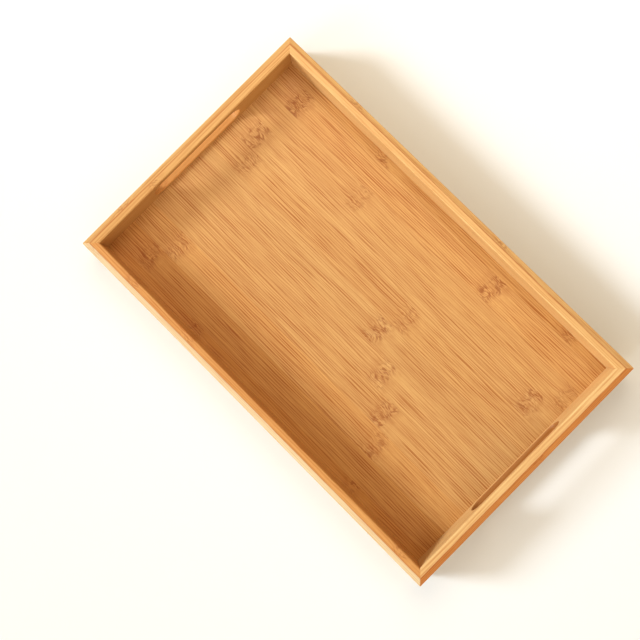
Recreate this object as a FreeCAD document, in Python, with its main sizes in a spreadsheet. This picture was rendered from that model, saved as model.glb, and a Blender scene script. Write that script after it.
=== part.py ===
import FreeCAD, Part
import Sketcher
import math
import os

# A rectangular bamboo serving tray: four mitred rails around a laminated floor, with a hand slot
# through each short rail. Millimetres, +Z up, X along the long side. The origin is the centre of
# the tray's outline on the surface that it stands on.
#
# Each rail is glued up from an outer and an inner strip. The two strips meet on the ridge of the
# rail's top: the outer strip is bevelled outwards from it, and the inner strip is rounded over
# into the tray. The floor is three plies thick and sits in a groove in the inner strips.

SIZES = [
    # name, value, what it is
    ("tray_length", 400, "outside, along X"),
    ("tray_width", 250, "outside, along Y"),
    ("tray_height", 45, "underside to ridge"),
    ("outer_strip", 5, "thickness of a rail's outer strip"),
    ("inner_strip", 6, "thickness of a rail's inner strip"),
    ("bevel_drop", 2.6, "how far the outer strip's bevel falls from the ridge"),
    ("shoulder_radius", 1.5, "round-over of the inner strip into the tray"),
    ("foot_bevel", 0.8, "bevel along the bottom edges of the rails"),
    ("inside_depth", 30, "ridge to floor"),
    ("groove_depth", 4, "how far the floor reaches into the rails"),
    ("face_ply", 2.2, "thickness of the floor's top ply"),
    ("core_ply", 3, "thickness of the floor's cross-grain ply"),
    ("backing_ply", 2, "thickness of the floor's bottom ply"),
    ("face_strip_width", 23.5, "width of the face ply's full strips"),
    ("full_strips", 9, "number of full strips in the face ply"),
    ("backing_strips", 10, "number of equal strips in the backing ply"),
    ("slot_length", 102, "hand slot, end to end"),
    ("slot_height", 19.5, "hand slot, top to bottom"),
    ("slot_lip", 3.5, "height of the slot's lower edge above the floor"),
    ("slot_round", 1.5, "round-over of the slot's edges on both faces"),
    ("spline_thickness", 2.5, "corner spline, across the mitre's corner"),
    ("spline_width", 8, "corner spline, from rail to rail"),
    ("spline_inset", 5.2, "centre of the spline from the rails' outer faces"),
    ("spline_recess", 1, "underside of the rails to the spline's lower end"),
    ("spline_top", 33, "height of the closed end of the spline's saw cut"),
]

RAIL_THICKNESS = "(sizes.outer_strip + sizes.inner_strip)"
FLOOR_TOP = "(sizes.tray_height - sizes.inside_depth)"
FACE_BOTTOM = "(%s - sizes.face_ply)" % FLOOR_TOP
CORE_BOTTOM = "(%s - sizes.core_ply)" % FACE_BOTTOM
FLOOR_BOTTOM = "(%s - sizes.backing_ply)" % CORE_BOTTOM
PANEL_LENGTH = "(sizes.tray_length - 2 * (%s - sizes.groove_depth))" % RAIL_THICKNESS
PANEL_WIDTH = "(sizes.tray_width - 2 * (%s - sizes.groove_depth))" % RAIL_THICKNESS
SLOT_CENTRE = "(%s + sizes.slot_lip + sizes.slot_height / 2)" % FLOOR_TOP
SLOT_REACH = "((sizes.slot_length - sizes.slot_height) / 2)"

UP = FreeCAD.Vector(0, 0, 1)
TOLERANCE = 0.001

# Rail name, length alias, angle about Z, and the outer face's distance from the origin along X, Y.
RAILS = [
    ("front_rail", "sizes.tray_length", 0, "0", "-sizes.tray_width / 2"),
    ("right_end_rail", "sizes.tray_width", 90, "sizes.tray_length / 2", "0"),
    ("back_rail", "sizes.tray_length", 180, "0", "sizes.tray_width / 2"),
    ("left_end_rail", "sizes.tray_width", 270, "-sizes.tray_length / 2", "0"),
]
# Corner name and the signs of its X and Y.
CORNERS = [
    ("front_left", -1, -1),
    ("front_right", 1, -1),
    ("back_right", 1, 1),
    ("back_left", -1, 1),
]


def make_sheet(doc):
    """The driving dimensions, one to a row: value in A, what it is in B."""
    sheet = doc.addObject("Spreadsheet::Sheet", "sizes")
    for row, (name, value, meaning) in enumerate(SIZES, start=1):
        sheet.set("A%d" % row, str(value))
        sheet.setAlias("A%d" % row, name)
        sheet.set("B%d" % row, meaning)
    doc.recompute()
    return sheet


def new_body(doc, name):
    body = doc.addObject("PartDesign::Body", name)
    body.Label = name
    return body


def new_sketch(body, name, role):
    """An empty sketch on one of the body's own origin planes."""
    plane = next(item for item in body.Origin.OriginFeatures if item.Role == role)
    sketch = body.newObject("Sketcher::SketchObject", name)
    sketch.AttachmentSupport = (plane, "")
    sketch.MapMode = "FlatFace"
    return sketch


def point_at(sketch, x_size, y_size):
    """The point that two size expressions stand for."""
    return FreeCAD.Vector(sketch.evalExpression(x_size), sketch.evalExpression(y_size), 0)


def pin(sketch, direction, geometry, point, size):
    """Ties one point of a sketch to a size, as a distance from the sketch's origin."""
    value = sketch.evalExpression(size)
    index = sketch.addConstraint(Sketcher.Constraint(direction, -1, 1, geometry, point, value))
    sketch.setExpression("Constraints[%d]" % index, size)


def pin_point(sketch, geometry, point, x_size, y_size):
    pin(sketch, "DistanceX", geometry, point, x_size)
    pin(sketch, "DistanceY", geometry, point, y_size)


def add_outline(sketch, corners):
    """A closed straight-sided outline whose corners are pairs of size expressions."""
    first = sketch.GeometryCount
    count = len(corners)
    points = [point_at(sketch, x_size, y_size) for x_size, y_size in corners]
    for number in range(count):
        sketch.addGeometry(Part.LineSegment(points[number], points[(number + 1) % count]))
    for number in range(count):
        after = first + (number + 1) % count
        sketch.addConstraint(Sketcher.Constraint("Coincident", first + number, 2, after, 1))
    for number, (x_size, y_size) in enumerate(corners):
        pin_point(sketch, first + number, 1, x_size, y_size)


def add_stadium(sketch, reach, centre_height, height):
    """A round-ended slot outline, centred across X: its end arcs are centred at +-reach."""
    upper = "%s + %s / 2" % (centre_height, height)
    lower = "%s - %s / 2" % (centre_height, height)
    right = point_at(sketch, reach, centre_height)
    left = point_at(sketch, "-" + reach, centre_height)
    rise = point_at(sketch, "0", height + " / 2")
    quarter_turn = math.pi / 2
    right_circle = Part.Circle(right, UP, rise.Length)
    left_circle = Part.Circle(left, UP, rise.Length)
    sketch.addGeometry(Part.ArcOfCircle(right_circle, -quarter_turn, quarter_turn))
    sketch.addGeometry(Part.LineSegment(right + rise, left + rise))
    sketch.addGeometry(Part.ArcOfCircle(left_circle, quarter_turn, 3 * quarter_turn))
    sketch.addGeometry(Part.LineSegment(left - rise, right - rise))
    for number in range(4):
        sketch.addConstraint(Sketcher.Constraint("Coincident", number, 2, (number + 1) % 4, 1))
    pin_point(sketch, 1, 1, reach, upper)
    pin_point(sketch, 1, 2, "-" + reach, upper)
    pin_point(sketch, 3, 1, "-" + reach, lower)
    pin_point(sketch, 3, 2, reach, lower)
    pin(sketch, "DistanceX", 0, 3, reach)
    pin(sketch, "DistanceX", 2, 3, "-" + reach)


def add_pad(body, sketch, name, length, symmetric):
    pad = body.newObject("PartDesign::Pad", name)
    pad.Profile = sketch
    pad.Midplane = symmetric
    pad.setExpression("Length", length)
    body.Document.recompute()
    return pad


def add_pocket(body, sketch, name, depth=None):
    """Cuts the sketch through the whole body both ways, or to a depth along its plane's normal."""
    before = body.Shape.Volume
    pocket = body.newObject("PartDesign::Pocket", name)
    pocket.Profile = sketch
    if depth is None:
        pocket.Type = "ThroughAll"
        pocket.Midplane = True
    else:
        pocket.Type = "Length"
        pocket.Reversed = True
        pocket.setExpression("Length", depth)
    body.Document.recompute()
    if before - body.Shape.Volume < TOLERANCE:
        raise RuntimeError("%s cuts nothing from %s" % (name, body.Label))
    return pocket


def add_round(body, base, name, radius, chosen):
    """Rounds the edges of base that the test picks."""
    names = [
        "Edge%d" % number
        for number, edge in enumerate(base.Shape.Edges, start=1)
        if chosen(edge)
    ]
    if not names:
        raise RuntimeError("%s finds no edge on %s" % (name, body.Label))
    fillet = body.newObject("PartDesign::Fillet", name)
    fillet.Base = (base, names)
    fillet.setExpression("Radius", radius)
    body.Document.recompute()
    return fillet


def lies_on(edge, y, z_low, z_high):
    """True for an edge in the plane at y, between two heights."""
    box = edge.BoundBox
    in_plane = abs(box.YMin - y) < TOLERANCE and abs(box.YMax - y) < TOLERANCE
    return in_plane and box.ZMin > z_low - TOLERANCE and box.ZMax < z_high + TOLERANCE


def outer_profile():
    """Section of a rail's outer strip: Y inwards from the outer face, Z up."""
    return [
        ("sizes.foot_bevel", "0"),
        ("sizes.outer_strip", "0"),
        ("sizes.outer_strip", "sizes.tray_height"),
        ("0", "sizes.tray_height - sizes.bevel_drop"),
        ("0", "sizes.foot_bevel"),
    ]


def inner_profile():
    """Section of a rail's inner strip, with the groove that holds the floor."""
    groove_face = "%s - sizes.groove_depth" % RAIL_THICKNESS
    return [
        ("sizes.outer_strip", "0"),
        (RAIL_THICKNESS + " - sizes.foot_bevel", "0"),
        (RAIL_THICKNESS, "sizes.foot_bevel"),
        (RAIL_THICKNESS, FLOOR_BOTTOM),
        (groove_face, FLOOR_BOTTOM),
        (groove_face, FLOOR_TOP),
        (RAIL_THICKNESS, FLOOR_TOP),
        (RAIL_THICKNESS, "sizes.tray_height"),
        ("sizes.outer_strip", "sizes.tray_height"),
    ]


def cut_mitres(body, length, near, far):
    """Cuts both ends at 45 degrees, over the strip from near to far behind the outer face."""
    sketch = new_sketch(body, body.Label + "_mitre_sketch", "XY_Plane")
    for sign in ("-", ""):
        long_end = "%s(%s / 2 - %s)" % (sign, length, near)
        short_end = "%s(%s / 2 - %s)" % (sign, length, far)
        add_outline(sketch, [(long_end, near), (short_end, far), (long_end, far)])
    add_pocket(body, sketch, body.Label + "_mitres")


def spline_corners(x_from, y_from, x_sign, y_sign):
    """Plan of a corner spline: a rectangle set square across the mitre of the corner at x_from,
    y_from. The signs point from that corner into the tray."""
    half_thickness = "sizes.spline_thickness * 0.5 * sqrt(0.5)"
    half_width = "sizes.spline_width * 0.5 * sqrt(0.5)"
    corners = []
    for across, along in ((-1, -1), (-1, 1), (1, 1), (1, -1)):
        inward = "(sizes.spline_inset + (%d) * %s)" % (across, half_thickness)
        sideways = "(%d) * %s" % (along, half_width)
        x_size = "%s + (%d) * (%s + %s)" % (x_from, x_sign, inward, sideways)
        y_size = "%s + (%d) * (%s - %s)" % (y_from, y_sign, inward, sideways)
        corners.append((x_size, y_size))
    return corners


def cut_spline_slots(body, length):
    """The saw cuts for the corner splines at both ends, open at the underside."""
    sketch = new_sketch(body, body.Label + "_spline_sketch", "XY_Plane")
    add_outline(sketch, spline_corners("-%s / 2" % length, "0", 1, 1))
    add_outline(sketch, spline_corners("%s / 2" % length, "0", -1, 1))
    add_pocket(body, sketch, body.Label + "_spline_slots", "sizes.spline_top")


def cut_hand_slot(body, sheet, face_y):
    """The hand slot, rounded over where it breaks the strip's free face at face_y."""
    sketch = new_sketch(body, body.Label + "_slot_sketch", "XZ_Plane")
    add_stadium(sketch, SLOT_REACH, SLOT_CENTRE, "sizes.slot_height")
    pocket = add_pocket(body, sketch, body.Label + "_hand_slot")
    low = sheet.tray_height - sheet.inside_depth + sheet.slot_lip
    high = low + sheet.slot_height
    add_round(body, pocket, body.Label + "_slot_round", "sizes.slot_round",
              lambda edge: lies_on(edge, face_y, low, high))


def make_strip(doc, sheet, rail, part):
    """One glued strip of a rail, outer or inner, made along X and turned into place."""
    name, length, angle, x_size, y_size = rail
    body = new_body(doc, "%s_%s" % (name, part))
    thickness = sheet.outer_strip + sheet.inner_strip
    if part == "outer":
        profile, near, far, face_y = outer_profile(), "0", "sizes.outer_strip", 0
    else:
        profile, near, far = inner_profile(), "sizes.outer_strip", RAIL_THICKNESS
        face_y = thickness
    sketch = new_sketch(body, body.Label + "_profile", "YZ_Plane")
    add_outline(sketch, profile)
    pad = add_pad(body, sketch, body.Label + "_bar", "%s - 2 * %s" % (length, near), True)
    if part == "inner":
        top = sheet.tray_height
        add_round(body, pad, body.Label + "_shoulder", "sizes.shoulder_radius",
                  lambda edge: lies_on(edge, thickness, top, top))
    cut_mitres(body, length, near, far)
    cut_spline_slots(body, length)
    if name.endswith("end_rail"):
        cut_hand_slot(body, sheet, face_y)
    body.Placement = FreeCAD.Placement(FreeCAD.Vector(), FreeCAD.Rotation(UP, angle))
    body.setExpression("Placement.Base.x", x_size)
    body.setExpression("Placement.Base.y", y_size)
    return body


def make_board(doc, name, width, thickness, y_size, z_size):
    """A flat piece of the floor, as long as the floor panel, centred at y with its base at z."""
    body = new_body(doc, name)
    sketch = new_sketch(body, name + "_plan", "XY_Plane")
    half_length = PANEL_LENGTH + " / 2"
    half_width = "(%s) / 2" % width
    add_outline(sketch, [
        ("-" + half_length, "-" + half_width),
        (half_length, "-" + half_width),
        (half_length, half_width),
        ("-" + half_length, half_width),
    ])
    add_pad(body, sketch, name + "_board", thickness, False)
    body.setExpression("Placement.Base.y", y_size)
    body.setExpression("Placement.Base.z", z_size)
    return body


def make_face_strips(doc, sheet):
    """The floor's visible ply: full strips in the middle and a narrower one along each side."""
    count = int(sheet.full_strips) + 2
    middle = (count - 1) / 2
    side_width = "(%s - sizes.full_strips * sizes.face_strip_width) / 2" % PANEL_WIDTH
    strips = []
    for number in range(count):
        name = "face_strip_%02d" % (number + 1)
        if number in (0, count - 1):
            width = side_width
            side = -1 if number == 0 else 1
            y_size = "(%d) * (%s - %s) / 2" % (side, PANEL_WIDTH, side_width)
        else:
            width = "sizes.face_strip_width"
            y_size = "(%g) * sizes.face_strip_width" % (number - middle)
        strips.append(make_board(doc, name, width, "sizes.face_ply", y_size, FACE_BOTTOM))
    return strips


def make_backing_strips(doc, sheet):
    """The floor's underside ply, in equal strips."""
    count = int(sheet.backing_strips)
    width = "%s / sizes.backing_strips" % PANEL_WIDTH
    strips = []
    for number in range(count):
        name = "backing_strip_%02d" % (number + 1)
        y_size = "(%g) * %s" % (number - (count - 1) / 2, width)
        strips.append(make_board(doc, name, width, "sizes.backing_ply", y_size, FLOOR_BOTTOM))
    return strips


def make_spline(doc, corner):
    """A loose spline glued across one mitred corner."""
    name, x_side, y_side = corner
    body = new_body(doc, name + "_spline")
    sketch = new_sketch(body, body.Label + "_plan", "XY_Plane")
    x_from = "(%d) * sizes.tray_length / 2" % x_side
    y_from = "(%d) * sizes.tray_width / 2" % y_side
    add_outline(sketch, spline_corners(x_from, y_from, -x_side, -y_side))
    add_pad(body, sketch, body.Label + "_blank", "sizes.spline_top - sizes.spline_recess", False)
    body.setExpression("Placement.Base.z", "sizes.spline_recess")
    return body


def check(doc, bodies):
    """Stops if any object failed or any sub-part isn't one valid solid."""
    for item in doc.Objects:
        if "Invalid" in item.State or "Error" in item.State:
            raise RuntimeError("%s failed: %s" % (item.Label, item.State))
    for body in bodies:
        shape = body.Shape
        if shape.isNull() or not shape.isValid() or len(shape.Solids) != 1:
            raise RuntimeError("%s is not one valid solid" % body.Label)


def main():
    doc = FreeCAD.newDocument("serving_tray")
    sheet = make_sheet(doc)
    bodies = [
        make_strip(doc, sheet, rail, part)
        for rail in RAILS
        for part in ("outer", "inner")
    ]
    bodies += make_face_strips(doc, sheet)
    bodies.append(make_board(doc, "core_ply", PANEL_WIDTH, "sizes.core_ply", "0", CORE_BOTTOM))
    bodies += make_backing_strips(doc, sheet)
    bodies += [make_spline(doc, corner) for corner in CORNERS]
    doc.recompute()
    check(doc, bodies)

    os.makedirs("parts", exist_ok=True)
    for body in bodies:
        body.Shape.exportStep("parts/%s.step" % body.Label)
        print("%-24s %10.1f mm3" % (body.Label, body.Shape.Volume))


main()
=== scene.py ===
import bmesh
import bpy
import math
import random
from mathutils import Matrix, Vector


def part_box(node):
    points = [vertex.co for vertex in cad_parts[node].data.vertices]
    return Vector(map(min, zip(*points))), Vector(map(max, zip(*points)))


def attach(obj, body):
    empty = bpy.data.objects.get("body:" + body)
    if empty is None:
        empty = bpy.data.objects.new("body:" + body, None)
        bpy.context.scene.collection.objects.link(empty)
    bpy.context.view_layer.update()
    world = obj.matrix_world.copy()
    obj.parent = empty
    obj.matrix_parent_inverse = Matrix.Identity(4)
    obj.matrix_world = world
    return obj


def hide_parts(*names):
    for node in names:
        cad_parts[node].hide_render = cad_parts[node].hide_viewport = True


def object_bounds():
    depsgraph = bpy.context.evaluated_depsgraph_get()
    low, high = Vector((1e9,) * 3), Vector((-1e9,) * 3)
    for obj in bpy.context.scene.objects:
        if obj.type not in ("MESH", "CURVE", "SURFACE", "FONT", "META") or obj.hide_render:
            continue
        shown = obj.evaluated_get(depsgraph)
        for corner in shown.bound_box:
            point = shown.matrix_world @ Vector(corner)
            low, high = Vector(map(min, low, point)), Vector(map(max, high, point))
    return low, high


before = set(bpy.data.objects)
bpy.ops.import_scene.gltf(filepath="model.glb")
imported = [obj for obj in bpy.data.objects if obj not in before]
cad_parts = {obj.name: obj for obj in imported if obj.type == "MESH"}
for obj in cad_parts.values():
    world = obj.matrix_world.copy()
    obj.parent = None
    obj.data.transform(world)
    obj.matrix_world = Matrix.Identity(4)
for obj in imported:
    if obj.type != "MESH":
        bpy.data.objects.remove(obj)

# A bamboo serving tray: mitred two-strip rails with hand slots, and a floor of glued strips.
# Every visible strip is built here as a mesh of its own, in the place of its CAD node.

MM = 0.001
CAD_BOX = [list(corner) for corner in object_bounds()]

# ---------------------------------------------------------------- sizes, from the frame

HALF_LENGTH, HALF_WIDTH, HEIGHT = CAD_BOX[1]
# A rail's section is drawn in Y from its outer face inwards, and Z up.
OUTER_LOW, OUTER_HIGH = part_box("front_rail_outer")
GLUE_PLANE = OUTER_HIGH.y - OUTER_LOW.y
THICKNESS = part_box("front_rail_inner")[1].y - OUTER_LOW.y
GROOVE_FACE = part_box("core_ply")[0].y - OUTER_LOW.y
FLOOR_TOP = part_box("face_strip_06")[1].z
FLOOR_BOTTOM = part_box("backing_strip_05")[0].z

# Details of the rails, as the CAD has them.
BEVEL_DROP = 2.6 * MM
SHOULDER = 1.5 * MM
FOOT = 0.8 * MM
SLOT_LENGTH = 102 * MM
SLOT_HEIGHT = 19.5 * MM
SLOT_LOW = FLOOR_TOP + 3.5 * MM
SLOT_ROUND = 1.5 * MM
SPLINE_THICKNESS = 2.5 * MM
SPLINE_WIDTH = 8 * MM
SPLINE_TOP = 33 * MM

BEVEL_TILT = math.atan2(BEVEL_DROP, GLUE_PLANE)
RIDGE_CROSSING = math.asin(math.tan(BEVEL_TILT / 2))
END_RAILS = ("left_end_rail", "right_end_rail")

# Hand finishing: how far each kind of edge is eased.
RIDGE_ROUND = 2.0 * MM
ARRIS_ROUND = 0.9 * MM
FOOT_ROUND = 0.3 * MM
SEAM_ROUND = 0.06 * MM
CORNER_ROUND = 1.2 * MM
MITRE_EASE = 0.07 * MM

# How finely the long pieces are divided along their length.
MITRE_ZONE = 14 * MM
MITRE_SHARES = (0.0, 0.45, 0.8, 0.9, 0.93, 0.96, 0.985)
RAIL_SPAN = 20 * MM
BOARD_SPANS = 24

# How far a cutter runs on past the faces it breaks.
CUTTER_OVERSHOOT = 2 * MM

# ---------------------------------------------------------------- mesh helpers


def new_object(name, data):
    piece = bpy.data.objects.new(name, data)
    bpy.context.scene.collection.objects.link(piece)
    return piece


def object_from_bmesh(name, shape):
    bmesh.ops.recalc_face_normals(shape, faces=shape.faces)
    mesh = bpy.data.meshes.new(name)
    shape.to_mesh(mesh)
    shape.free()
    return new_object(name, mesh)


def arc(centre, radius, start, end, steps):
    """Points of a plane arc, from one angle to another, ends included."""
    found = []
    for step in range(steps + 1):
        angle = start + (end - start) * step / steps
        found.append((centre[0] + radius * math.cos(angle), centre[1] + radius * math.sin(angle)))
    return found


def eased(corners):
    """A closed section from (y, z, radius, steps) corners, each corner rounded by its radius."""
    section = []
    count = len(corners)
    for number, (y, z, radius, steps) in enumerate(corners):
        here = Vector((y, z))
        if radius <= 0:
            section.append((y, z))
            continue
        before = Vector(corners[number - 1][:2]) - here
        after = Vector(corners[(number + 1) % count][:2]) - here
        before.normalize()
        after.normalize()
        half = before.angle(after) / 2
        centre = here + (before + after).normalized() * radius / math.sin(half)
        reach = radius / math.tan(half)
        start = here + before * reach - centre
        end = here + after * reach - centre
        start_angle = math.atan2(start.y, start.x)
        turn = (math.atan2(end.y, end.x) - start_angle + math.pi) % (2 * math.pi) - math.pi
        section += arc(centre, radius, start_angle, start_angle + turn, steps)
    return section


def inset(section, distance):
    """The section with each point moved inwards, for the eased rim of an end face."""
    heart = Vector((sum(p[0] for p in section), sum(p[1] for p in section))) / len(section)
    area = sum(a[0] * b[1] - b[0] * a[1] for a, b in zip(section, section[1:] + section[:1]))
    side = 1 if area > 0 else -1
    found = []
    count = len(section)
    for number, point in enumerate(section):
        before = Vector(point) - Vector(section[number - 1])
        after = Vector(section[(number + 1) % count]) - Vector(point)
        if before.length < 1e-9 or after.length < 1e-9:
            along = heart - Vector(point)
        else:
            along = before.normalized() + after.normalized()
        if along.length < 1e-9:
            along = after
        along.normalize()
        found.append((point[0] - side * along.y * distance, point[1] + side * along.x * distance))
    return found


def skinned(name, rings):
    """An object of quads between neighbouring rings of points, with a cap at each end."""
    shape = bmesh.new()
    rows = [[shape.verts.new(point) for point in ring] for ring in rings]
    count = len(rows[0])
    for low, high in zip(rows, rows[1:]):
        for number in range(count):
            after = (number + 1) % count
            shape.faces.new((low[number], low[after], high[after], high[number]))
    shape.faces.new(rows[0])
    shape.faces.new(list(reversed(rows[-1])))
    return object_from_bmesh(name, shape)


# ---------------------------------------------------------------- the rails' sections


def ridge_arc(first, last, steps):
    """Points of the eased ridge between two tilts from the vertical, in the section's plane."""
    half = BEVEL_TILT / 2
    down = RIDGE_ROUND / math.cos(half)
    centre = (GLUE_PLANE + down * math.sin(half), HEIGHT - down * math.cos(half))
    return arc(centre, RIDGE_ROUND, math.pi / 2 + first, math.pi / 2 + last, steps)


def outer_section():
    """Outer strip, with its sloping bevel up to the ridge."""
    ridge = [(y, z, 0, 0) for y, z in ridge_arc(RIDGE_CROSSING, BEVEL_TILT, 3)]
    return eased([
        (FOOT, 0, FOOT_ROUND, 2),
        (GLUE_PLANE, 0, SEAM_ROUND, 1),
        (GLUE_PLANE, ridge[0][1], SEAM_ROUND, 1),
        *ridge[1:],
        (0, HEIGHT - BEVEL_DROP, ARRIS_ROUND, 5),
        (0, FOOT, FOOT_ROUND, 2),
    ])


def inner_section():
    """Inner strip, with its groove for the floor and its round shoulder."""
    ridge = [(y, z, 0, 0) for y, z in ridge_arc(0, RIDGE_CROSSING, 2)]
    return eased([
        (GLUE_PLANE, 0, SEAM_ROUND, 1),
        (THICKNESS - FOOT, 0, FOOT_ROUND, 2),
        (THICKNESS, FOOT, FOOT_ROUND, 2),
        (THICKNESS, FLOOR_BOTTOM, 0, 0),
        (GROOVE_FACE, FLOOR_BOTTOM, 0, 0),
        (GROOVE_FACE, FLOOR_TOP, 0, 0),
        (THICKNESS, FLOOR_TOP, 0, 0),
        (THICKNESS, HEIGHT, SHOULDER, 9),
        *ridge[:-1],
        (GLUE_PLANE, ridge[-1][1], SEAM_ROUND, 1),
    ])


def corner_depth(x, half_length):
    """How far in the rounded outside corner of the tray has come, at x along a rail."""
    along = abs(x) - (half_length - CORNER_ROUND)
    if along <= 0:
        return 0.0
    along = min(along, CORNER_ROUND)
    return CORNER_ROUND - math.sqrt(CORNER_ROUND ** 2 - along ** 2)


def mitred_bar(name, section, half_length):
    """A bar along X with 45 degree ends, its outer vertical corners rounded."""
    plain = half_length - MITRE_ZONE
    spans = max(4, round(2 * plain / RAIL_SPAN))
    tip = CORNER_ROUND * (1 - math.sqrt(0.5))

    def ring(share, side, points, short=0.0):
        """The section part of the way through the mitred zone, at one end of the bar."""
        found = []
        for y, z in points:
            end = half_length - max(y, tip) - short
            x = plain + (end - plain) * share
            found.append((side * x, max(y, corner_depth(x, half_length)), z))
        return found

    rim = inset(section, MITRE_EASE)
    rings = [ring(1, -1, rim), ring(1, -1, section, MITRE_EASE)]
    for share in reversed(MITRE_SHARES):
        rings.append(ring(share, -1, section))
    for span in range(1, spans):
        x = -plain + 2 * plain * span / spans
        rings.append([(x, y, z) for y, z in section])
    for share in MITRE_SHARES:
        rings.append(ring(share, 1, section))
    rings += [ring(1, 1, section, MITRE_EASE), ring(1, 1, rim)]
    return skinned(name, rings)


# ---------------------------------------------------------------- cutters


def stadium(y, grow):
    """A ring of the hand slot's outline at depth y, grown outwards all round."""
    radius = SLOT_HEIGHT / 2
    reach = SLOT_LENGTH / 2 - radius
    height = SLOT_LOW + radius
    quarter = math.pi / 2
    right = arc((reach, height), radius + grow, -quarter, quarter, 24)
    left = arc((-reach, height), radius + grow, quarter, 3 * quarter, 24)
    return [(x, y, z) for x, z in right + left]


def slot_cutter(outer):
    """The hand slot as a solid that flares where it breaks the strip's free face."""
    steps = 6
    face = 0.0 if outer else THICKNESS
    inward = 1 if outer else -1
    overshoot = inward * CUTTER_OVERSHOOT
    rings = [stadium(face - overshoot, SLOT_ROUND), stadium(face, SLOT_ROUND)]
    for step in range(1, steps + 1):
        turn = step * math.pi / 2 / steps
        depth = SLOT_ROUND * (1 - math.cos(turn))
        grow = SLOT_ROUND * (1 - math.sin(turn))
        rings.append(stadium(face + inward * depth, grow))
    rings.append(stadium(GLUE_PLANE + overshoot, 0))
    return skinned("slot_cutter", rings)


def spline_cutter(half_length, side):
    """The saw cut for a corner spline, in a rail's own coordinates."""
    low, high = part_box("front_left_spline")
    from_corner = (low.x + high.x) / 2 + HALF_LENGTH
    centre = Vector((side * (half_length - from_corner), from_corner))
    inward = Vector((-side, 1)).normalized()
    sideways = Vector((-inward.y, inward.x))
    plan = []
    for a, b in ((-1, -1), (1, -1), (1, 1), (-1, 1)):
        corner = centre + inward * (SPLINE_THICKNESS / 2) * a
        plan.append(corner + sideways * (SPLINE_WIDTH / 2) * b)
    rings = [[(p.x, p.y, z) for p in plan] for z in (-CUTTER_OVERSHOOT, SPLINE_TOP)]
    return skinned("spline_cutter", rings)


def cut(piece, cutters):
    """Takes the cutters out of the piece and drops them."""
    for cutter in cutters:
        change = piece.modifiers.new("cut", "BOOLEAN")
        change.operation = "DIFFERENCE"
        change.solver = "MANIFOLD"
        change.object = cutter
    apply_modifiers(piece)
    for cutter in cutters:
        mesh = cutter.data
        bpy.data.objects.remove(cutter)
        bpy.data.meshes.remove(mesh)


def apply_modifiers(piece):
    """Gives the piece the mesh that its modifiers make, and removes them."""
    graph = bpy.context.evaluated_depsgraph_get()
    made = bpy.data.meshes.new_from_object(piece.evaluated_get(graph), depsgraph=graph)
    old = piece.data
    piece.modifiers.clear()
    piece.data = made
    bpy.data.meshes.remove(old)


def smooth(piece, angle=32):
    """Smooth faces with creases kept, and normals that leave the flat faces flat."""
    shape = bmesh.new()
    shape.from_mesh(piece.data)
    bmesh.ops.remove_doubles(shape, verts=shape.verts, dist=1e-7)
    for face in shape.faces:
        face.smooth = True
    for edge in shape.edges:
        if len(edge.link_faces) == 2:
            edge.smooth = edge.calc_face_angle(0) < math.radians(angle)
    shape.to_mesh(piece.data)
    shape.free()
    weigh = piece.modifiers.new("weighted", "WEIGHTED_NORMAL")
    weigh.keep_sharp = True
    weigh.weight = 80


# ---------------------------------------------------------------- material helpers


class Sheet:
    """A node tree, with short ways to add the few kinds of node the bamboo needs."""

    def __init__(self, tree):
        self.tree = tree

    def add(self, kind, **settings):
        node = self.tree.nodes.new(kind)
        for name, value in settings.items():
            setattr(node, name, value)
        return node

    def feed(self, socket, value):
        if isinstance(value, bpy.types.NodeSocket):
            self.tree.links.new(value, socket)
        else:
            socket.default_value = value

    def math(self, operation, first, second=0.0, third=None, clamp=False):
        node = self.add("ShaderNodeMath", operation=operation, use_clamp=clamp)
        self.feed(node.inputs[0], first)
        self.feed(node.inputs[1], second)
        if third is not None:
            self.feed(node.inputs[2], third)
        return node.outputs[0]

    def total(self, *terms):
        found = terms[0]
        for term in terms[1:]:
            found = self.math("ADD", found, term)
        return found

    def product(self, *terms):
        found = terms[0]
        for term in terms[1:]:
            found = self.math("MULTIPLY", found, term)
        return found

    def vector(self, x, y, z):
        node = self.add("ShaderNodeCombineXYZ")
        for socket, value in zip(node.inputs, (x, y, z)):
            self.feed(socket, value)
        return node.outputs[0]

    def noise(self, vector, detail=2.0, roughness=0.5, distortion=0.0):
        """Noise whose cells are one unit of the vector; about 0.5 on average."""
        node = self.add("ShaderNodeTexNoise", noise_dimensions="3D")
        self.feed(node.inputs["Vector"], vector)
        node.inputs["Scale"].default_value = 1.0
        node.inputs["Detail"].default_value = detail
        node.inputs["Roughness"].default_value = roughness
        node.inputs["Distortion"].default_value = distortion
        return node.outputs["Fac"]

    def ramp(self, value, low, high, out_low=0.0, out_high=1.0):
        """Takes low..high smoothly to out_low..out_high, and holds the ends."""
        node = self.add("ShaderNodeMapRange", interpolation_type="SMOOTHSTEP", clamp=True)
        for socket, given in zip(node.inputs, (value, low, high, out_low, out_high)):
            self.feed(socket, given)
        return node.outputs[0]

    def blend(self, amount, first, second, kind="MIX"):
        node = self.add("ShaderNodeMix", data_type="RGBA", blend_type=kind)
        self.feed(node.inputs["Factor"], amount)
        self.feed(node.inputs[6], first)
        self.feed(node.inputs[7], second)
        return node.outputs[2]


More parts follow.
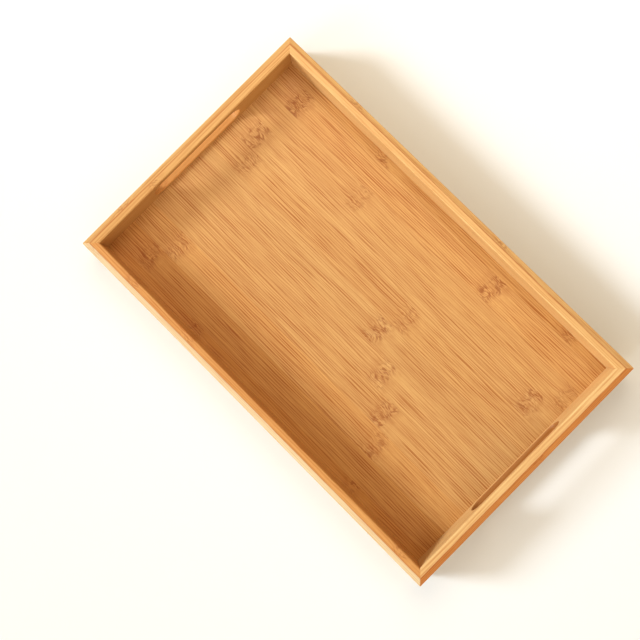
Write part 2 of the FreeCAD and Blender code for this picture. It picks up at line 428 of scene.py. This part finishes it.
FAR = 9999.0  # where a node goes, in mm, when a strip has none there
NODE_INPUTS = ("Node A", "Node B", "Node C")
GRAIN_INPUTS = [
    ("Place", "NodeSocketVector", None),
    ("Seed", "NodeSocketFloat", 0.0),
    ("Node A", "NodeSocketFloat", FAR),
    ("Node B", "NodeSocketFloat", FAR),
    ("Node C", "NodeSocketFloat", FAR),
    ("Pale", "NodeSocketColor", (0.8, 0.5, 0.2, 1)),
    ("Dark", "NodeSocketColor", (0.5, 0.2, 0.1, 1)),
    ("Fleck", "NodeSocketColor", (0.3, 0.1, 0.05, 1)),
    ("Streaks", "NodeSocketFloat", 1.0),
    ("Fleck Strength", "NodeSocketFloat", 1.0),
    ("Fibre Width", "NodeSocketFloat", 1.0),
]
GRAIN_OUTPUTS = [
    ("Color", "NodeSocketColor"),
    ("Roughness", "NodeSocketFloat"),
    ("Height", "NodeSocketFloat"),
]


class Grain(Sheet):
    """The sheet of the grain group, with the place in mm that all its patterns start from."""

    def __init__(self, tree):
        super().__init__(tree)
        self.given = self.add("NodeGroupInput").outputs
        split = self.add("ShaderNodeSeparateXYZ")
        self.feed(split.inputs[0], self.given["Place"])
        self.along, across, deep = split.outputs
        self.across = self.math("ADD", across, deep)
        self.deep = self.math("ADD", deep, self.math("MULTIPLY", self.given["Seed"], 17.3))

    def cells(self, length, width, shift=0.0, sideways=None):
        """The place, with cells so long and so wide (mm), moved on by shift."""
        sideways = self.across if sideways is None else sideways
        far = self.math("MULTIPLY_ADD", self.along, 1 / length, shift)
        wide = self.math("MULTIPLY_ADD", sideways, 1 / width, 1.7 * shift)
        low = self.math("MULTIPLY", self.deep, 1 / width)
        return self.vector(far, wide, low)

    def node_gaps(self):
        """How far past each node line this place is; the lines wander across the strip."""
        wander = self.noise(self.cells(60, 5, 3.1), detail=1.0)
        wander = self.math("MULTIPLY_ADD", wander, 9.0, -4.5)
        gaps = []
        for name in NODE_INPUTS:
            gap = self.math("SUBTRACT", self.along, self.given[name])
            gaps.append(self.math("ADD", gap, wander))
        return gaps

    def past_node(self, gap):
        """1 on the plainer wood just past a node line."""
        return self.product(self.ramp(gap, 3.0, 7.0), self.ramp(gap, 30.0, 10.0))

    def swerved(self, near):
        """The place across the strip, with fibres that swerve round a node."""
        swerve = self.noise(self.cells(9.0, 4.0, 8.3), detail=1.0)
        swerve = self.math("MULTIPLY_ADD", swerve, 4.0, -2.0)
        swerve = self.product(swerve, self.math("MULTIPLY_ADD", near, 0.85, 0.02))
        return self.math("ADD", self.across, swerve)

    def bundles(self, fine, after):
        """Long dark fibre bundles, nearly evenly spaced, broken, and crowded in some parts."""
        stray = self.noise(self.cells(40.0, 0.8, 1.0, fine), detail=1.0, roughness=0.5)
        stray = self.product(self.ramp(stray, 0.40, 0.66), 0.26)
        sway = self.noise(self.cells(90.0, 7.0, 2.6, fine), detail=1.0)
        turns = self.math("MULTIPLY_ADD", fine, 2.1, self.product(sway, 12.0))
        combed = self.ramp(self.math("SINE", turns), -0.75, 0.95)
        broken = self.noise(self.cells(34.0, 2.0, 3.3, fine), detail=1.0)
        combed = self.product(combed, self.ramp(broken, 0.34, 0.62, 0.3, 1.0))
        crowd = self.noise(self.cells(60.0, 7.0, 5.0), detail=2.0)
        crowd = self.ramp(crowd, 0.36, 0.66, 0.7, 1.0)
        found = self.math("MULTIPLY_ADD", combed, 0.72, stray)
        return self.product(found, crowd, self.math("MULTIPLY_ADD", after, -0.5, 1.0))

    def marks(self, close):
        """A node's short dark dashes, leaning this way and that, and the glints between them."""
        strength = self.given["Fleck Strength"]
        twist = self.noise(self.cells(15.0, 8.0, 4.4), detail=0.0)
        lean = self.math("MULTIPLY_ADD", twist, 11.0, -5.5)
        tilted = self.math("ADD", lean, self.across)
        pattern = self.noise(self.cells(3.6, 0.8, 6.2, tilted), detail=1.0, roughness=0.5)
        clumps = self.noise(self.cells(9.0, 4.0, 9.9), detail=0.0)
        clumps = self.ramp(clumps, 0.28, 0.55, 0.2, 1.0)
        dashes = self.product(self.ramp(pattern, 0.47, 0.58), close, clumps, strength)
        glints = self.product(self.ramp(pattern, 0.47, 0.38), close, strength)
        return dashes, glints


def grain_group():
    """An empty node group with the grain's inputs and outputs."""
    group = bpy.data.node_groups.new("bamboo_grain", "ShaderNodeTree")
    for name, kind, value in GRAIN_INPUTS:
        socket = group.interface.new_socket(name, in_out="INPUT", socket_type=kind)
        if value is not None:
            socket.default_value = value
    for name, kind in GRAIN_OUTPUTS:
        group.interface.new_socket(name, in_out="OUTPUT", socket_type=kind)
    return group


def make_grain():
    """The bamboo's grain as a node group. Place is in mm: along the grain, across it, and deep."""
    group = grain_group()
    sheet = Grain(group)
    given = sheet.given
    result = sheet.add("NodeGroupOutput").inputs

    gaps = sheet.node_gaps()
    nearest = sheet.math("ABSOLUTE", gaps[0])
    after = sheet.past_node(gaps[0])
    for gap in gaps[1:]:
        nearest = sheet.math("MINIMUM", nearest, sheet.math("ABSOLUTE", gap))
        after = sheet.math("MAXIMUM", after, sheet.past_node(gap))
    close = sheet.ramp(nearest, 10.0, 4.0)
    near = sheet.ramp(nearest, 20.0, 4.0)

    fine = sheet.math("DIVIDE", sheet.swerved(near), given["Fibre Width"])
    bundles = sheet.bundles(fine, after)
    fibres = sheet.noise(sheet.cells(13.0, 0.42, 2.0, fine), detail=2.0, roughness=0.6)
    fibres = sheet.ramp(fibres, 0.35, 0.7)
    drift = sheet.noise(sheet.cells(110.0, 10.0, 7.0), detail=2.0)
    drift = sheet.ramp(drift, 0.3, 0.7)
    dashes, glints = sheet.marks(close)
    halo = sheet.noise(sheet.cells(8.0, 5.0, 11.0), detail=1.0)
    halo = sheet.product(near, sheet.ramp(halo, 0.3, 0.7))

    shade = sheet.product(bundles, given["Streaks"])
    shade = sheet.math("MULTIPLY_ADD", fibres, 0.22, shade)
    shade = sheet.math("MULTIPLY_ADD", drift, 0.16, shade, clamp=True)
    colour = sheet.blend(shade, given["Pale"], given["Dark"])
    colour = sheet.blend(sheet.product(halo, given["Fleck Strength"], 0.42), colour, given["Dark"])
    colour = sheet.blend(sheet.product(glints, 0.35), colour, given["Pale"])
    colour = sheet.blend(sheet.product(dashes, 0.66), colour, given["Fleck"])
    sheet.feed(result["Color"], colour)

    smudges = sheet.noise(sheet.cells(30.0, 22.0, 13.0), detail=3.0)
    rough = sheet.math("MULTIPLY_ADD", smudges, 0.16, 0.33)
    rough = sheet.math("MULTIPLY_ADD", fibres, 0.06, rough)
    rough = sheet.math("MULTIPLY_ADD", dashes, 0.10, rough)
    sheet.feed(result["Roughness"], rough)

    height = sheet.math("MULTIPLY", bundles, -0.6)
    height = sheet.math("MULTIPLY_ADD", fibres, -0.35, height)
    height = sheet.math("MULTIPLY_ADD", dashes, -1.0, height)
    height = sheet.math("MULTIPLY_ADD", glints, 0.8, height)
    sheet.feed(result["Height"], height)
    return group


def bamboo(name, grain, centre, turned, seed, nodes, look):
    """A bamboo material for one strip; centre is the strip's own, nodes are mm from it."""
    material = bpy.data.materials.new(name)
    material.use_nodes = True
    sheet = Sheet(material.node_tree)
    shader = material.node_tree.nodes["Principled BSDF"]
    place = sheet.add("ShaderNodeTexCoord").outputs["Object"]
    shift = sheet.add("ShaderNodeVectorMath", operation="SUBTRACT")
    sheet.feed(shift.inputs[0], place)
    shift.inputs[1].default_value = centre
    turn = sheet.add("ShaderNodeVectorRotate", rotation_type="Z_AXIS")
    sheet.feed(turn.inputs["Vector"], shift.outputs[0])
    turn.inputs["Angle"].default_value = -math.pi / 2 if turned else 0.0
    grow = sheet.add("ShaderNodeVectorMath", operation="SCALE")
    sheet.feed(grow.inputs[0], turn.outputs[0])
    grow.inputs["Scale"].default_value = 1 / MM
    strip = sheet.add("ShaderNodeGroup", node_tree=grain)
    sheet.feed(strip.inputs["Place"], grow.outputs[0])
    strip.inputs["Seed"].default_value = seed
    for socket, at in zip(NODE_INPUTS, nodes):
        strip.inputs[socket].default_value = at
    for socket, value in look.items():
        strip.inputs[socket].default_value = value
    bump = sheet.add("ShaderNodeBump")
    bump.inputs["Strength"].default_value = 1.0
    bump.inputs["Distance"].default_value = 0.05 * MM
    sheet.feed(bump.inputs["Height"], strip.outputs["Height"])
    sheet.feed(shader.inputs["Base Color"], strip.outputs["Color"])
    sheet.feed(shader.inputs["Roughness"], strip.outputs["Roughness"])
    sheet.feed(shader.inputs["Normal"], bump.outputs["Normal"])
    shader.inputs["Specular IOR Level"].default_value = 0.42
    return material


def tint(material, mask, colour):
    """Blends a colour over what the material has, where its mask is 1."""
    sheet = Sheet(material.node_tree)
    base = material.node_tree.nodes["Principled BSDF"].inputs["Base Color"]
    sheet.feed(base, sheet.blend(mask, base.links[0].from_socket, colour))


def grain_node(material):
    """The material's one use of the grain group."""
    return next(node for node in material.node_tree.nodes if node.bl_idname == "ShaderNodeGroup")


def strip_place(material):
    """The material's own place, in mm: along the strip, across it, and up."""
    split = Sheet(material.node_tree).add("ShaderNodeSeparateXYZ")
    place = grain_node(material).inputs["Place"].links[0].from_socket
    material.node_tree.links.new(place, split.inputs[0])
    return split.outputs


def darken_glue_line(material, at):
    """A thin worn red-brown line where the strip meets its neighbour, at so many mm across."""
    sheet = Sheet(material.node_tree)
    along, across, _ = strip_place(material)
    gap = sheet.math("ABSOLUTE", sheet.math("SUBTRACT", across, at))
    worn = sheet.noise(sheet.vector(sheet.math("MULTIPLY", along, 0.04), at, 0.0), detail=2.0)
    mask = sheet.product(sheet.ramp(gap, 0.75, 0.1), sheet.ramp(worn, 0.3, 0.6, 0.35, 0.75))
    tint(material, mask, srgb(*GLUE_LINE_TONE))


def tone_side(material, below):
    """Gives the strip's broad face, below a height in mm, the tones that all the rails share there."""
    sheet = Sheet(material.node_tree)
    height = strip_place(material)[2]
    mask = sheet.ramp(height, below + 0.2, below - 0.6)
    for name, tone in zip(("Pale", "Dark"), SIDE_TONES):
        socket = grain_node(material).inputs[name]
        sheet.feed(socket, sheet.blend(mask, tuple(socket.default_value), srgb(*tone)))


def slot_tone_and_painted_shade(material, strength, tone):
    """Blends a tone over the inside of the hand slot; on the right end rail it is painted shade, the
    dark of the shadow inside the slot.
    """
    sheet = Sheet(material.node_tree)
    along, _, height = strip_place(material)
    radius = SLOT_HEIGHT / 2 / MM
    straight = SLOT_LENGTH / 2 / MM - radius
    beyond = sheet.math("MAXIMUM", sheet.math("SUBTRACT", sheet.math("ABSOLUTE", along), straight), 0.0)
    rise = sheet.math("SUBTRACT", height, SLOT_LOW / MM + radius)
    away = sheet.math("SQRT", sheet.total(sheet.product(beyond, beyond), sheet.product(rise, rise)))
    # The mask covers the slot's inside; on the right end rail the colour laid there is painted shade.
    mask = sheet.ramp(away, radius + 1.35, radius + 0.5, 0.0, strength)
    tint(material, mask, srgb(*tone))


def srgb(red, green, blue):
    """A colour given as 0-255 screen values, as the shader's linear ones."""
    found = []
    for level in (red, green, blue):
        share = level / 255
        found.append(share / 12.92 if share < 0.04045 else ((share + 0.055) / 1.055) ** 2.4)
    return (*found, 1.0)


def toned(colour, gain, amber_and_shade):
    """The colour made lighter or darker by gain, and more orange by the amber share, 0 to 1; on the
    front floor strips this orange is painted shade, elsewhere a tone of the strip.
    """
    red, green, blue = (level * gain for level in colour[:3])
    return (min(1.0, red), green * (1 - 0.16 * amber_and_shade), blue * (1 - 0.42 * amber_and_shade), 1.0)


def floor_look(gain, amber_and_shade, streaks, flecks):
    """The grain's settings for a floor strip."""
    return {
        "Pale": toned(srgb(210, 171, 111), gain, amber_and_shade),
        "Dark": toned(srgb(160, 99, 47), gain, amber_and_shade),
        "Fleck": toned(srgb(138, 76, 35), gain, amber_and_shade),
        "Streaks": streaks,
        "Fleck Strength": flecks,
        "Fibre Width": 0.66,
    }


def rail_look(pale, dark, streaks, flecks):
    """The grain's settings for a rail's strip."""
    return {
        "Pale": srgb(*pale),
        "Dark": srgb(*dark),
        "Fleck": srgb(150, 80, 36),
        "Streaks": streaks,
        "Fleck Strength": flecks,
        "Fibre Width": 0.75,
    }


def dress(piece, material):
    piece.data.materials.clear()
    piece.data.materials.append(material)


# ---------------------------------------------------------------- pieces

GRAIN = make_grain()

# Floor strips, front to back: lightness, amber tone, streak and fleck strength, and the nodes' x. The
# strong amber of the front strips is painted shade, the deep orange of the shadow along the front rail.
FACE_STRIPS = [
    (0.98, 1.0, 0.9, 0.7, (-83.0, 105.6)),
    (0.99, 0.8, 1.0, 0.7, (-155.9,)),
    (1.02, 0.4, 1.0, 0.6, (-143.0, 97.0)),
    (1.01, 0.1, 1.0, 1.0, (82.7,)),
    (1.02, 0.0, 0.9, 0.9, (58.4,)),
    (1.00, 0.0, 0.9, 1.0, (29.9,)),
    (1.01, 0.1, 1.0, 0.5, (-153.0, 41.3)),
    (1.02, 0.0, 0.9, 1.0, (-165.9, 164.1)),
    (1.00, 0.1, 0.8, 0.5, (-61.6, 182.7)),
    (1.00, 0.2, 1.1, 1.0, (-160.1, 74.1)),
    (0.99, 0.4, 1.0, 0.8, (-73.0, 148.4)),
]

# Each rail: name, half length, turn in degrees, and the middle of its outer face; then for the
# outer and the inner strip the pale and dark tones, streak and fleck strength, and the nodes.
RAILS = [
    ("front_rail", HALF_LENGTH, 0, (0, -HALF_WIDTH),
     # The front rail's outer strip has a whitish pale tone that is partly painted highlight, the sheen
     # on its bevel, over the wood's own colour.
     ((213, 200, 161), (194, 152, 98), 0.8, 0.4, (-188.0,)),
     ((213, 163, 98), (185, 119, 58), 0.9, 0.7, (-144.0, -78.0, 168.0))),
    ("right_end_rail", HALF_WIDTH, 90, (HALF_LENGTH, 0),
     ((219, 154, 83), (181, 102, 40), 0.8, 0.5, (17.0,)),
     ((225, 196, 138), (198, 144, 85), 0.9, 0.5, (FAR,))),
    ("back_rail", HALF_LENGTH, 180, (0, HALF_WIDTH),
     ((234, 200, 138), (204, 144, 81), 0.8, 0.6, (-118.0, 51.0)),
     ((221, 186, 127), (196, 142, 81), 0.8, 0.4, (FAR,))),
    ("left_end_rail", HALF_WIDTH, 270, (-HALF_LENGTH, 0),
     ((208, 171, 111), (181, 125, 65), 0.8, 0.5, (-78.0,)),
     ((213, 175, 113), (185, 127, 67), 0.8, 0.7, (-44.0,))),
]

# Pale and dark tones that the rails' outer faces share below the bevel.
SIDE_TONES = ((217, 179, 117), (186, 131, 69))
# The inside of each hand slot: strength and tone. The right end rail's dark brown is painted shade, the
# shadow inside its slot; the left end rail's orange is a tone of the sawn wood.
SLOT_TONES_AND_PAINTED_SHADE = {
    "right_end_rail": (0.85, (148, 85, 19)),
    "left_end_rail": (0.5, (219, 150, 77)),
}
GLUE_LINE_TONE = (172, 92, 36)
# Pale and dark tones of the core and the splines.
CORE_TONES = ((206, 160, 104), (164, 106, 56))

# Seeds of the grain: each kind of strip counts on from its own.
BACKING_SEED = 20
RAIL_SEED = 40
HIDDEN_SEED = 70


def hand_in(piece, node):
    """Puts the piece in the place of its CAD node."""
    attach(piece, "root")
    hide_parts(node)


def shape_rail_strip(node, rail, half_length, angle, place, outer):
    """One strip of a rail, cut along X and then turned and moved to its side of the tray."""
    section = outer_section() if outer else inner_section()
    piece = mitred_bar(node + "_strip", section, half_length)
    cutters = [spline_cutter(half_length, side) for side in (-1, 1)]
    if rail in END_RAILS:
        cutters.append(slot_cutter(outer))
    cut(piece, cutters)
    turn = Matrix.Rotation(math.radians(angle), 4, "Z")
    piece.data.transform(Matrix.Translation((*place, 0)) @ turn)
    smooth(piece)
    return piece


def rail_material(node, rail, finish, outer, seed):
    """A rail strip's bamboo, with its glue line, side tone, and the tone of its slot, which on the
    right end rail is painted shade.
    """
    low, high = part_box(node)
    centre = ((low.x + high.x) / 2, (low.y + high.y) / 2, 0)
    *look, nodes = finish
    material = bamboo(node, GRAIN, centre, rail in END_RAILS, seed, nodes, rail_look(*look))
    side = 1 if rail in ("front_rail", "right_end_rail") else -1
    glue_line = side * (GLUE_PLANE / 2 if outer else (GLUE_PLANE - THICKNESS) / 2)
    darken_glue_line(material, glue_line / MM)
    if outer:
        tone_side(material, (HEIGHT - BEVEL_DROP) / MM)
    if rail in SLOT_TONES_AND_PAINTED_SHADE:
        slot_tone_and_painted_shade(material, *SLOT_TONES_AND_PAINTED_SHADE[rail])
    return material


def make_board(node, material, edge_up):
    """A strip of the floor, with its glued edges eased on the side that shows."""
    low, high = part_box(node)
    top = SEAM_ROUND if edge_up else 0
    bottom = 0 if edge_up else SEAM_ROUND
    section = eased([
        (low.y, low.z, bottom, 1),
        (high.y, low.z, bottom, 1),
        (high.y, high.z, top, 1),
        (low.y, high.z, top, 1),
    ])
    rings = []
    for span in range(BOARD_SPANS + 1):
        x = low.x + (high.x - low.x) * span / BOARD_SPANS
        rings.append([(x, y, z) for y, z in section])
    piece = skinned(node + "_board", rings)
    smooth(piece)
    dress(piece, material)
    hand_in(piece, node)


def middle(node):
    """The centre of a CAD node's box."""
    low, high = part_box(node)
    return tuple((low + high) / 2)


def make_rails():
    seed = RAIL_SEED
    for rail, half_length, angle, place, outer_finish, inner_finish in RAILS:
        for kind, finish in (("outer", outer_finish), ("inner", inner_finish)):
            seed += 1
            node = rail + "_" + kind
            outer = kind == "outer"
            piece = shape_rail_strip(node, rail, half_length, angle, place, outer)
            dress(piece, rail_material(node, rail, finish, outer, seed))
            hand_in(piece, node)


def make_face():
    """The strips that show inside the tray."""
    for number, (*finish, nodes) in enumerate(FACE_STRIPS, 1):
        node = "face_strip_%02d" % number
        look = floor_look(*finish)
        material = bamboo(node, GRAIN, middle(node), False, number, nodes, look)
        make_board(node, material, True)


def make_backing():
    """The strips under the floor, each with two nodes at random places."""
    dice = random.Random(7)
    backing = sorted(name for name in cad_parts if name.startswith("backing_strip_"))
    for number, node in enumerate(backing, 1):
        start = dice.uniform(-190, -20)
        nodes = (start, start + dice.uniform(170, 230))
        tone = (dice.uniform(0.96, 1.03), dice.uniform(0.0, 0.6))
        look = floor_look(*tone, dice.uniform(0.7, 1.1), dice.uniform(0.5, 1.0))
        material = bamboo(node, GRAIN, middle(node), False, BACKING_SEED + number, nodes, look)
        make_board(node, material, False)


def dress_hidden_nodes():
    """The core and the corner splines keep their CAD shape and get bamboo of their own."""
    look = rail_look(*CORE_TONES, 0.9, 0.6)
    names = ["core_ply"] + [name for name in sorted(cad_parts) if name.endswith("_spline")]
    for number, name in enumerate(names):
        turned = name == "core_ply"
        material = bamboo(name, GRAIN, middle(name), turned, HIDDEN_SEED + number, (FAR,), look)
        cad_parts[name].data.materials[0] = material


make_rails()
make_face()
make_backing()
dress_hidden_nodes()

# ---------------------------------------------------------------- stage, lights, camera

STAGE_HALF = 4.0
STAGE_COLOUR = (0.82, 0.92, 1.0, 1)

# Colours of the light: white from the key's side, warm where it comes back off the room.
WHITE = (1.0, 1.0, 1.0)
WARM = (1.0, 0.75, 0.51)

# Lamps: name, where the light comes from (azimuth, elevation), strength, spread, colour.
SUNS = [
    ("key", (222, 28), 2.35, 15, WHITE),
    ("key_glow", (222, 35), 0.44, 35, WHITE),
    ("front_fill", (268, 30), 0.72, 26, WHITE),
    ("front_right_fill", (315, 45), 1.12, 60, WARM),
    ("back_right_fill", (45, 45), 0.74, 60, WARM),
]

# The camera: place in metres, turn in degrees about X, Y and Z, lens in mm.
CAMERA_PLACE = (0.0275, -0.0263, 0.8654)
CAMERA_TURN = (4.691, 2.510, 44.890)
CAMERA_LENS = 55.43
CAMERA_SHIFT = (0.0136, -0.0786)


def make_stage():
    """A plain pale floor under the tray."""
    mesh = bpy.data.meshes.new("studio_floor")
    half = STAGE_HALF
    corners = [(-half, -half, 0), (half, -half, 0), (half, half, 0), (-half, half, 0)]
    mesh.from_pydata(corners, [], [(0, 1, 2, 3)])
    stage = new_object("studio_floor", mesh)
    material = bpy.data.materials.new("studio_floor")
    material.use_nodes = True
    shader = material.node_tree.nodes["Principled BSDF"]
    shader.inputs["Base Color"].default_value = STAGE_COLOUR
    shader.inputs["Roughness"].default_value = 0.9
    dress(stage, material)


def hold_lamp(lamp, towards, distance, colour):
    """Places a lamp out in a direction (azimuth, elevation), in degrees, to face the tray."""
    azimuth, elevation = (math.radians(value) for value in towards)
    source = Vector((
        math.cos(azimuth) * math.cos(elevation),
        math.sin(azimuth) * math.cos(elevation),
        math.sin(elevation),
    ))
    lamp.color = colour
    holder = new_object(lamp.name, lamp)
    holder.location = source * distance
    holder.rotation_euler = source.to_track_quat("Z", "Y").to_euler()


def add_sun(name, towards, strength, spread, colour):
    """A sun, whose light is softer the wider its spread in degrees."""
    lamp = bpy.data.lights.new(name, "SUN")
    lamp.energy = strength
    lamp.angle = math.radians(spread)
    hold_lamp(lamp, towards, 0.0, colour)


def add_panel(name, towards, distance, side, power, colour):
    """A square soft panel, so far away and so wide in metres."""
    lamp = bpy.data.lights.new(name, "AREA")
    lamp.shape = "SQUARE"
    lamp.size = side
    lamp.energy = power
    hold_lamp(lamp, towards, distance, colour)


def set_world(colour, strength):
    """A dim even light from all round."""
    world = bpy.data.worlds.new("studio")
    world.use_nodes = True
    back = world.node_tree.nodes["Background"]
    back.inputs["Color"].default_value = (*colour, 1)
    back.inputs["Strength"].default_value = strength
    bpy.context.scene.world = world


def make_camera():
    data = bpy.data.cameras.new("camera")
    data.lens = CAMERA_LENS
    data.sensor_width = 36
    data.shift_x, data.shift_y = CAMERA_SHIFT
    camera = new_object("camera", data)
    camera.location = CAMERA_PLACE
    camera.rotation_euler = [math.radians(angle) for angle in CAMERA_TURN]
    bpy.context.scene.camera = camera


make_stage()
for sun in SUNS:
    add_sun(*sun)
add_panel("back_left_panel", (140, 60), distance=1.2, side=0.8, power=7.5, colour=WARM)
set_world(WARM, strength=0.05)
make_camera()
bpy.context.scene.view_settings.view_transform = "Standard"
